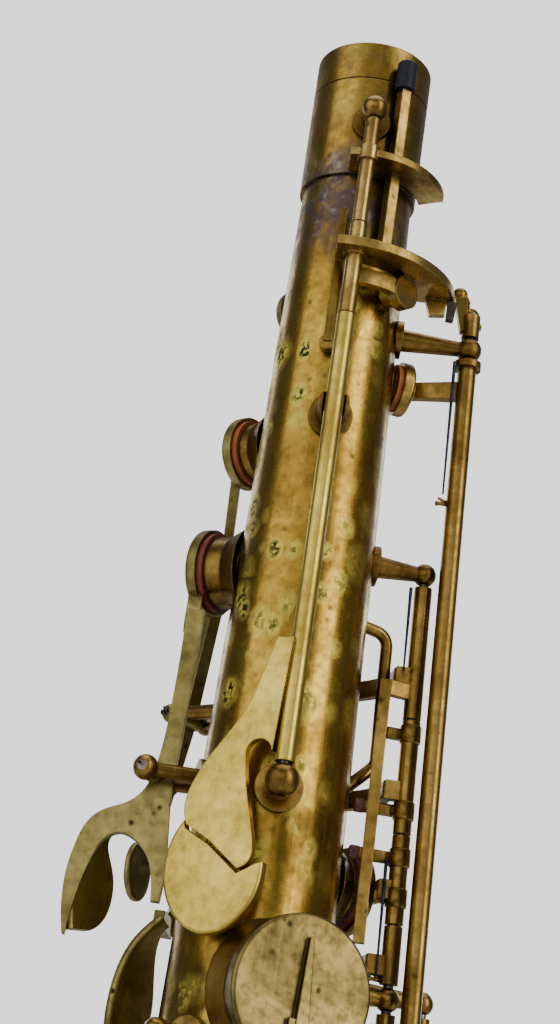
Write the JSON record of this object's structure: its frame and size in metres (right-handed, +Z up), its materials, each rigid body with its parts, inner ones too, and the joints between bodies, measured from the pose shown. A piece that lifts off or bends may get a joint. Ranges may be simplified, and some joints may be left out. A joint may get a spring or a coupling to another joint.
{
  "type": "soprano saxophone",
  "caption": "Straight conical brass woodwind body with flared bell, open neck receiver, octave mechanism, palm, side, stack and bell keys on posts and rods; neck and mouthpiece removed.",
  "frame": {"origin": "centre of the bell rim on the bore axis, on the surface that the bell stands on", "axes": "+Z up the bore from bell to neck receiver, -Y the player's thumb side, +X the player's right"},
  "size_m": [0.092, 0.092, 0.59],
  "materials": {
    "body_brass": "old bare brass, warm brown patina",
    "cork": "dark cork",
    "key_brass": "old bare brass",
    "orange_pad": "old orange leather",
    "palm_brass": "dull pitted brass",
    "post_bronze": "dark brown patina",
    "red_pad": "old dull red leather",
    "rod_steel": "turned steel",
    "rubber": "black tubing",
    "spring_steel": "blued steel",
    "touch_brass": "finger polished brass"
  },
  "bodies": {
    "saxophone_body": {"bell": "body_brass", "bell_joint_ring": "body_brass", "bell_rim_ring": "body_brass", "body_tube": "body_brass", "cross_posts": "post_bronze", "cross_rods": "rod_steel", "low_key_guard": "post_bronze", "low_posts": "post_bronze", "low_rods": "rod_steel", "neck_receiver": "body_brass", "needle_springs": "spring_steel", "octave_flat_spring": "key_brass", "octave_pip": "body_brass", "octave_posts": "post_bronze", "octave_rod": "rod_steel", "receiver_clamp_screw": "post_bronze", "receiver_top_ring": "body_brass", "right_posts": "post_bronze", "side_key_guard": "post_bronze", "side_rods": "rod_steel", "stack_rods": "rod_steel", "strap_ring": "post_bronze", "thumb_hook": "post_bronze", "thumb_rest": "touch_brass", "tone_hole_chimneys": "body_brass"},
    "octave_thumb_key": {"octave_thumb_key": "touch_brass"},
    "octave_transfer_lever": {"octave_transfer_lever": "key_brass", "octave_vent_pad": "orange_pad", "transfer_cork": "cork"},
    "neck_octave_lever": {"neck_octave_lever": "key_brass", "octave_sleeve": "rubber"},
    "changeover_lever": {"changeover_lever": "key_brass"},
    "palm_d_key": {"palm_d_key": "palm_brass", "palm_d_pad": "red_pad"},
    "palm_e_flat_key": {"palm_e_flat_key": "palm_brass", "palm_e_flat_pad": "orange_pad"},
    "palm_f_key": {"palm_f_key": "palm_brass", "palm_f_pad": "orange_pad"},
    "side_e_key": {"side_e_key": "key_brass", "side_e_pad": "orange_pad"},
    "side_c_key": {"side_c_key": "key_brass"},
    "side_b_flat_key": {"side_b_flat_key": "key_brass"},
    "g_sharp_touch_key": {"g_sharp_touch_key": "key_brass"},
    "g_sharp_key": {"g_sharp_key": "key_brass", "g_sharp_pad": "orange_pad"},
    "a_key": {"a_key": "key_brass"},
    "b_key": {"b_key": "key_brass"},
    "bis_key": {"bis_key": "key_brass", "bis_pad": "red_pad"},
    "c_vent_key": {"c_vent_key": "key_brass"},
    "g_key": {"g_key": "key_brass"},
    "f_key": {"f_key": "key_brass"},
    "e_key": {"e_key": "key_brass"},
    "d_key": {"d_key": "key_brass"},
    "f_sharp_key": {"f_sharp_key": "key_brass"},
    "low_e_flat_key": {"low_e_flat_key": "key_brass"},
    "low_c_key": {"low_c_key": "key_brass"},
    "low_c_sharp_key": {"low_c_sharp_key": "key_brass"},
    "low_b_key": {"low_b_key": "key_brass"},
    "low_b_flat_key": {"low_b_flat_key": "key_brass"}
  },
  "joints": [
    {"name": "octave_thumb_press", "type": "hinge", "parent": "saxophone_body", "child": "octave_thumb_key", "pos_m": [0.00093, -0.01775, 0.4577], "axis": [0.0011, -0.0214, -0.9998], "range_deg": [0, 7], "stiffness_Nm_per_rad": 0.03, "springref_deg": -6.88},
    {"name": "octave_transfer_turn", "type": "hinge", "parent": "saxophone_body", "child": "octave_transfer_lever", "pos_m": [0.00093, -0.01775, 0.4577], "axis": [0.0011, -0.0214, -0.9998], "range_deg": [0, 7], "stiffness_Nm_per_rad": 0.03, "springref_deg": -6.88},
    {"name": "neck_octave_turn", "type": "hinge", "parent": "saxophone_body", "child": "neck_octave_lever", "pos_m": [0.00093, -0.01775, 0.4577], "axis": [0.0011, -0.0214, -0.9998], "range_deg": [0, 7], "stiffness_Nm_per_rad": 0.03, "springref_deg": -6.88},
    {"name": "changeover_turn", "type": "hinge", "parent": "saxophone_body", "child": "changeover_lever", "pos_m": [0.02684, -0.00282, 0.345], "axis": [-0.0238, 0.0185, 0.9995], "range_deg": [0, 7], "stiffness_Nm_per_rad": 0.03, "springref_deg": -6.88},
    {"name": "palm_d_press", "type": "hinge", "parent": "saxophone_body", "child": "palm_d_key", "pos_m": [-0.0184, 0.0005, 0.4595], "axis": [-0.28, -0.96, 0], "range_deg": [0, 6], "stiffness_Nm_per_rad": 0.05, "springref_deg": -6.88},
    {"name": "palm_e_flat_press", "type": "hinge", "parent": "saxophone_body", "child": "palm_e_flat_key", "pos_m": [-0.0156, 0.0164, 0.473], "axis": [-0.72, -0.694, 0], "range_deg": [0, 4.5], "stiffness_Nm_per_rad": 0.05, "springref_deg": -6.88},
    {"name": "palm_f_press", "type": "hinge", "parent": "saxophone_body", "child": "palm_f_key", "pos_m": [-0.0094, 0.0224, 0.4483], "axis": [-0.9221, -0.387, 0], "range_deg": [0, 2.2], "stiffness_Nm_per_rad": 0.05, "springref_deg": -6.88},
    {"name": "side_e_press", "type": "hinge", "parent": "saxophone_body", "child": "side_e_key", "pos_m": [0.02684, -0.00282, 0.345], "axis": [0.0238, -0.0185, -0.9995], "range_deg": [0, 9], "stiffness_Nm_per_rad": 0.03, "springref_deg": -6.88},
    {"name": "side_c_press", "type": "hinge", "parent": "saxophone_body", "child": "side_c_key", "pos_m": [0.02904, 0.01057, 0.344], "axis": [0.0201, 0.0073, -0.9998], "range_deg": [0, 10], "stiffness_Nm_per_rad": 0.03, "springref_deg": -6.88},
    {"name": "side_b_flat_press", "type": "hinge", "parent": "saxophone_body", "child": "side_b_flat_key", "pos_m": [0.02904, 0.01057, 0.344], "axis": [0.0201, 0.0073, -0.9998], "range_deg": [0, 10], "stiffness_Nm_per_rad": 0.03, "springref_deg": -6.88},
    {"name": "g_sharp_touch_press", "type": "hinge", "parent": "saxophone_body", "child": "g_sharp_touch_key", "pos_m": [-0.01205, -0.01658, 0.396], "axis": [-0.0126, -0.0173, -0.9998], "range_deg": [0, 4], "stiffness_Nm_per_rad": 0.03, "springref_deg": -6.88},
    {"name": "g_sharp_lift", "type": "hinge", "parent": "saxophone_body", "child": "g_sharp_key", "pos_m": [0.00777, -0.01746, 0.4], "axis": [0.9135, 0.4067, 0], "range_deg": [0, 6], "stiffness_Nm_per_rad": 0.05, "springref_deg": -6.88},
    {"name": "a_press", "type": "hinge", "parent": "saxophone_body", "child": "a_key", "pos_m": [0.02608, 0.00366, 0.268], "axis": [-0.0289, -0.0041, 0.9996], "range_deg": [0, 7], "stiffness_Nm_per_rad": 0.03, "springref_deg": -6.88},
    {"name": "b_press", "type": "hinge", "parent": "saxophone_body", "child": "b_key", "pos_m": [0.02608, 0.00366, 0.268], "axis": [-0.0289, -0.0041, 0.9996], "range_deg": [0, 7], "stiffness_Nm_per_rad": 0.03, "springref_deg": -6.88},
    {"name": "bis_press", "type": "hinge", "parent": "saxophone_body", "child": "bis_key", "pos_m": [0.02608, 0.00366, 0.268], "axis": [-0.0289, -0.0041, 0.9996], "range_deg": [0, 7], "stiffness_Nm_per_rad": 0.03, "springref_deg": -6.88},
    {"name": "c_vent_press", "type": "hinge", "parent": "saxophone_body", "child": "c_vent_key", "pos_m": [0.02608, 0.00366, 0.268], "axis": [-0.0289, -0.0041, 0.9996], "range_deg": [0, 7], "stiffness_Nm_per_rad": 0.03, "springref_deg": -6.88},
    {"name": "g_press", "type": "hinge", "parent": "saxophone_body", "child": "g_key", "pos_m": [0.02608, 0.00366, 0.268], "axis": [-0.0289, -0.0041, 0.9996], "range_deg": [0, 7], "stiffness_Nm_per_rad": 0.03, "springref_deg": -6.88},
    {"name": "f_press", "type": "hinge", "parent": "saxophone_body", "child": "f_key", "pos_m": [0.02608, 0.00366, 0.268], "axis": [-0.0289, -0.0041, 0.9996], "range_deg": [0, 7], "stiffness_Nm_per_rad": 0.03, "springref_deg": -6.88},
    {"name": "e_press", "type": "hinge", "parent": "saxophone_body", "child": "e_key", "pos_m": [0.02608, 0.00366, 0.268], "axis": [-0.0289, -0.0041, 0.9996], "range_deg": [0, 7], "stiffness_Nm_per_rad": 0.03, "springref_deg": -6.88},
    {"name": "d_press", "type": "hinge", "parent": "saxophone_body", "child": "d_key", "pos_m": [0.02608, 0.00366, 0.268], "axis": [-0.0289, -0.0041, 0.9996], "range_deg": [0, 7], "stiffness_Nm_per_rad": 0.03, "springref_deg": -6.88},
    {"name": "f_sharp_press", "type": "hinge", "parent": "saxophone_body", "child": "f_sharp_key", "pos_m": [0.02608, 0.00366, 0.268], "axis": [-0.0289, -0.0041, 0.9996], "range_deg": [0, 7], "stiffness_Nm_per_rad": 0.03, "springref_deg": -6.88},
    {"name": "low_e_flat_press", "type": "hinge", "parent": "saxophone_body", "child": "low_e_flat_key", "pos_m": [0.02652, -0.00185, 0.205], "axis": [-0.0213, 0.0015, 0.9998], "range_deg": [0, 6], "stiffness_Nm_per_rad": 0.05, "springref_deg": -6.88},
    {"name": "low_c_press", "type": "hinge", "parent": "saxophone_body", "child": "low_c_key", "pos_m": [0.02652, -0.00185, 0.205], "axis": [-0.0213, 0.0015, 0.9998], "range_deg": [0, 5.5], "stiffness_Nm_per_rad": 0.05, "springref_deg": -6.88},
    {"name": "low_c_sharp_press", "type": "hinge", "parent": "saxophone_body", "child": "low_c_sharp_key", "pos_m": [-0.02524, 0.00919, 0.192], "axis": [-0.0201, 0.0073, -0.9998], "range_deg": [0, 5.5], "stiffness_Nm_per_rad": 0.05, "springref_deg": -6.88},
    {"name": "low_b_press", "type": "hinge", "parent": "saxophone_body", "child": "low_b_key", "pos_m": [-0.0277, 0.00097, 0.152], "axis": [-0.0214, 0.0007, -0.9998], "range_deg": [0, 5.5], "stiffness_Nm_per_rad": 0.05, "springref_deg": -6.88},
    {"name": "low_b_flat_press", "type": "hinge", "parent": "saxophone_body", "child": "low_b_flat_key", "pos_m": [-0.02747, -0.00788, 0.112], "axis": [-0.0206, -0.0059, -0.9998], "range_deg": [0, 5.5], "stiffness_Nm_per_rad": 0.05, "springref_deg": -6.88}
  ],
  "couplings": [
    {"joint": "octave_transfer_turn", "follows": "octave_thumb_press", "ratio": 1},
    {"joint": "neck_octave_turn", "follows": "octave_thumb_press", "ratio": 1},
    {"joint": "changeover_turn", "follows": "octave_thumb_press", "ratio": 1},
    {"joint": "g_sharp_lift", "follows": "g_sharp_touch_press", "ratio": 1.5},
    {"joint": "c_vent_press", "follows": "a_press", "ratio": 1},
    {"joint": "f_sharp_press", "follows": "f_press", "ratio": 1}
  ]
}
